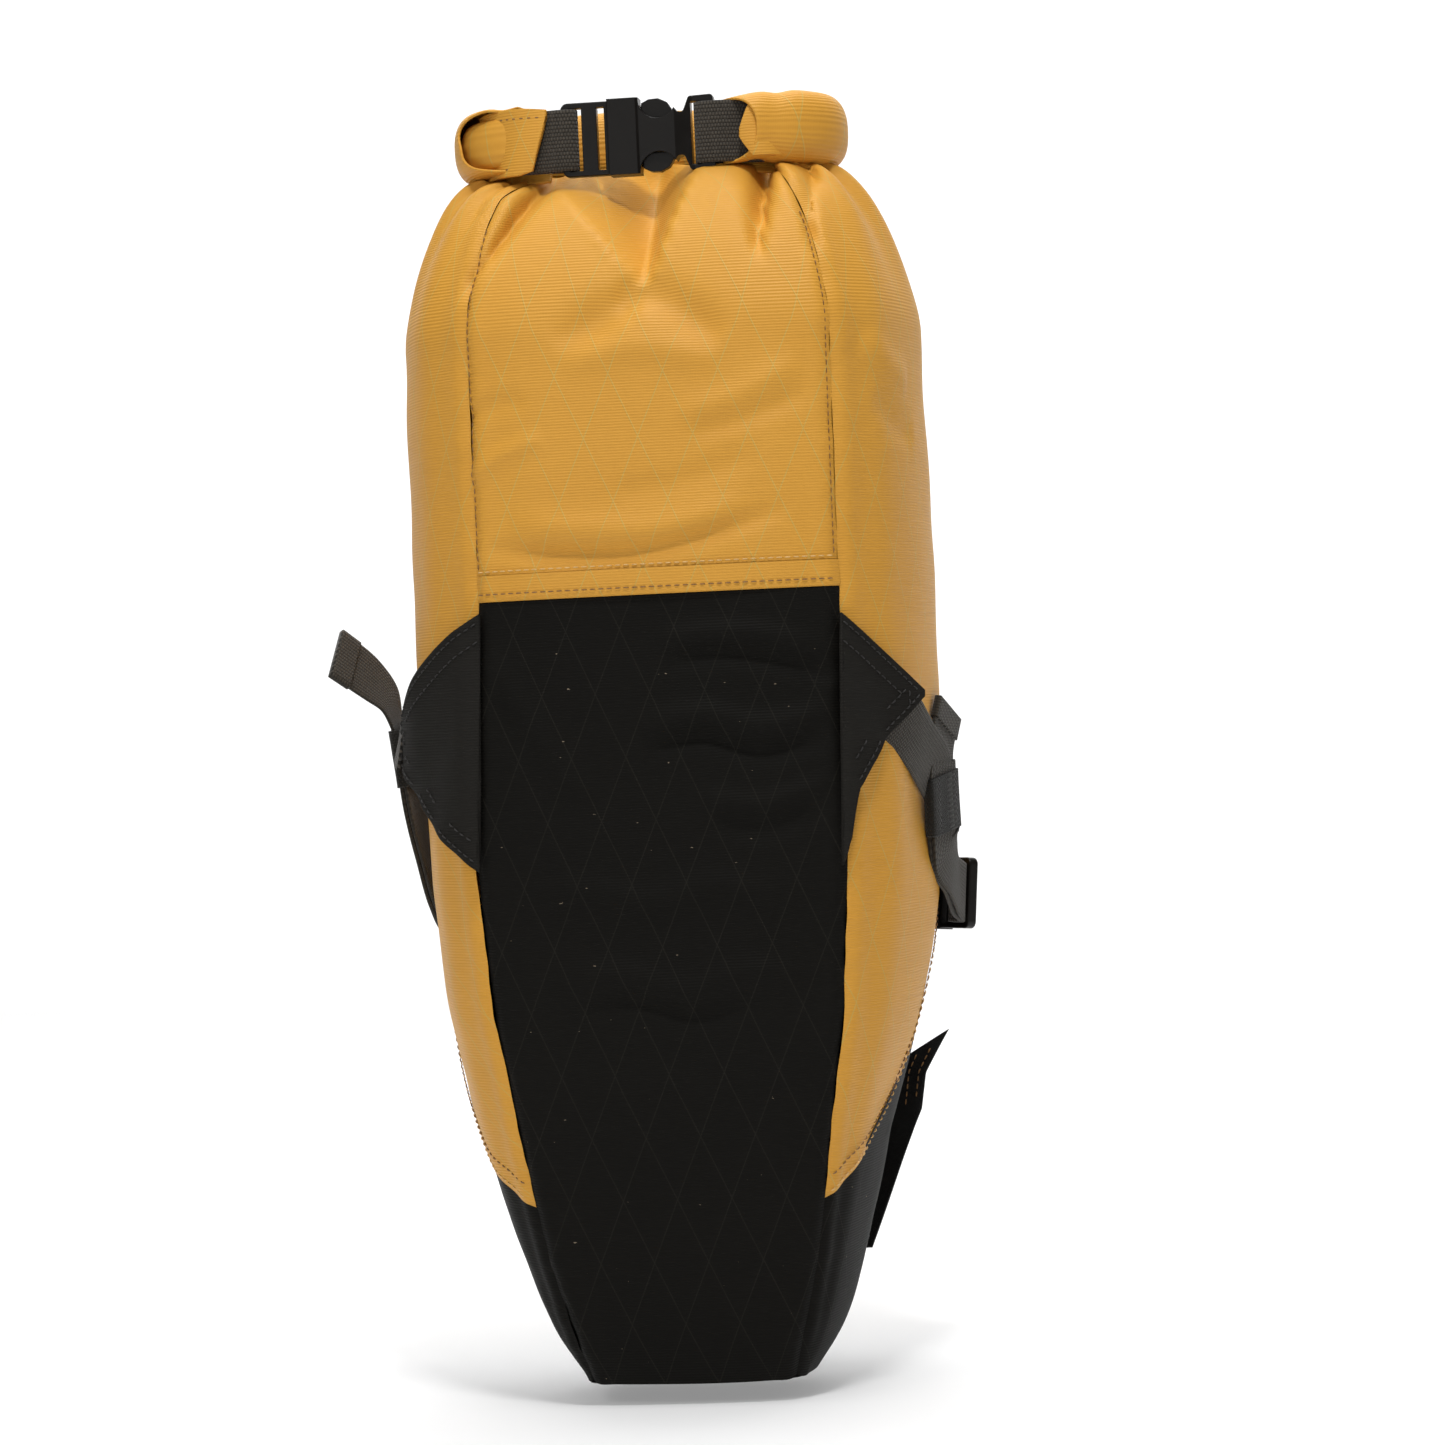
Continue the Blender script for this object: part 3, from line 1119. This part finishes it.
def flap():
    """Free end of the wrap: a hook-and-loop flap cut on a slant, its high corner curling off the bag."""
    nu, nv = 64, 48

    def place(f, g, lift=0.0):
        h = -42 + (80 + 16 * max(0, (f - 0.78) / 0.22) ** 1.3) * g
        reach = np.interp(h, [-42, 18, 34, 54], [66, 88, 90, 100])
        x = 20 + (reach - 20) * f
        q = 4.5 - 1.2 * math.exp(-(((x - 76) / 10) ** 2)) + 5.0 * max(0, (x - 84) / 16) ** 1.5
        q += 0.5 * math.sin(h / 9 + x / 17) * f + lift
        return POST_FACE + np.array([x, 0, 0]) + POST_OUT * q + POST_AXIS * h, (x, h)

    verts, uv = [], []
    for i in range(nu + 1):
        for j in range(nv + 1):
            point, at = place(j / nv, i / nu)
            verts.append(point * MM)
            uv.append(at)
    obj = mesh_object("post_tail_flap", verts, grid_faces(nu + 1, nv + 1), uv, HOOK)
    solidify(obj, 1.9)
    register(obj, "post_tail", ("post_tail",))
    for row, f in enumerate((0.90, 0.96)):
        points = [place(f, g, -1.0)[0] for g in np.linspace(0.70, 0.97, 40)]
        normals = np.tile(-POST_OUT, (40, 1))
        label = "post_tail_stitch_%d" % row
        stitch_row(label, points, normals, THREAD_DARK, body="post_tail", slot_name="hook_loop")


flap()


# ---------- moulded buckles keep their own shape
for name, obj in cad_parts.items():
    if "buckle" in name:
        for s in obj.material_slots:
            s.material = PLASTIC


# ---------- studio
def studio():
    curve = [(-3.2, 0), (1.1, 0), (1.7, 0.12), (2.1, 0.5), (2.3, 1.1), (2.35, 3.2)]
    line = catmull([(y, z, 0) for y, z in curve], 60)
    verts = [(x, y, z) for y, z, _ in line for x in (-4.5, 4.5)]
    material, tree, shader = new_material("studio_white")
    shader.inputs["Base Color"].default_value = (0.70, 0.70, 0.70, 1)
    shader.inputs["Emission Color"].default_value = (1, 1, 1, 1)
    shader.inputs["Emission Strength"].default_value = 0.25
    shader.inputs["Roughness"].default_value = 0.9
    shader.inputs["Specular IOR Level"].default_value = 0.1
    mesh_object("studio_sweep", verts, grid_faces(len(line), 2), None, material)
    world = bpy.data.worlds.new("studio")
    world.use_nodes = True
    world.node_tree.nodes["Background"].inputs[0].default_value = (1, 1, 1, 1)
    world.node_tree.nodes["Background"].inputs[1].default_value = 0.12
    bpy.context.scene.world = world
    for name, place, size, power, aim in (
        ("key", (0.3, -1.1, 2.3), 0.35, 27, (0, 0, 0.35)),
        ("fill", (-0.9, -1.9, 1.6), 0.9, 10, (0, 0, 0.3)),
        ("front", (-0.2, -2.4, 0.4), 1.0, 4, (0, 0, 0.15)),
        ("top", (0.1, -0.5, 2.4), 0.5, 8, (0, 0, 0.3)),
        ("wall", (0, 0.9, 2.8), 2.6, 70, (0, 2.2, 0.6)),
    ):
        data = bpy.data.lights.new(name, "AREA")
        data.shape = "DISK"
        data.size = size
        data.energy = power
        lamp = bpy.data.objects.new(name, data)
        lamp.location = place
        lamp.rotation_euler = (Vector(aim) - Vector(place)).to_track_quat("-Z", "Y").to_euler()
        bpy.context.scene.collection.objects.link(lamp)
    bpy.context.scene.view_settings.view_transform = "Standard"


def camera():
    azimuth, distance, height, side, roll = math.radians(7), 1.9, 0.267, 0.018, math.radians(2.6)
    ahead = Vector((-math.sin(azimuth), math.cos(azimuth), 0))
    right = Vector((math.cos(azimuth), math.sin(azimuth), 0))
    data = bpy.data.cameras.new("camera")
    data.sensor_width = 36
    data.lens = 113.6055
    cam = bpy.data.objects.new("camera", data)
    cam.location = Vector((0, 0, height)) - ahead * distance + right * side
    level = ahead.to_track_quat("-Z", "Y").to_matrix()
    cam.rotation_euler = (level @ Matrix.Rotation(-roll, 3, "Z")).to_euler()
    bpy.context.scene.collection.objects.link(cam)
    bpy.context.scene.camera = cam


studio()
camera()
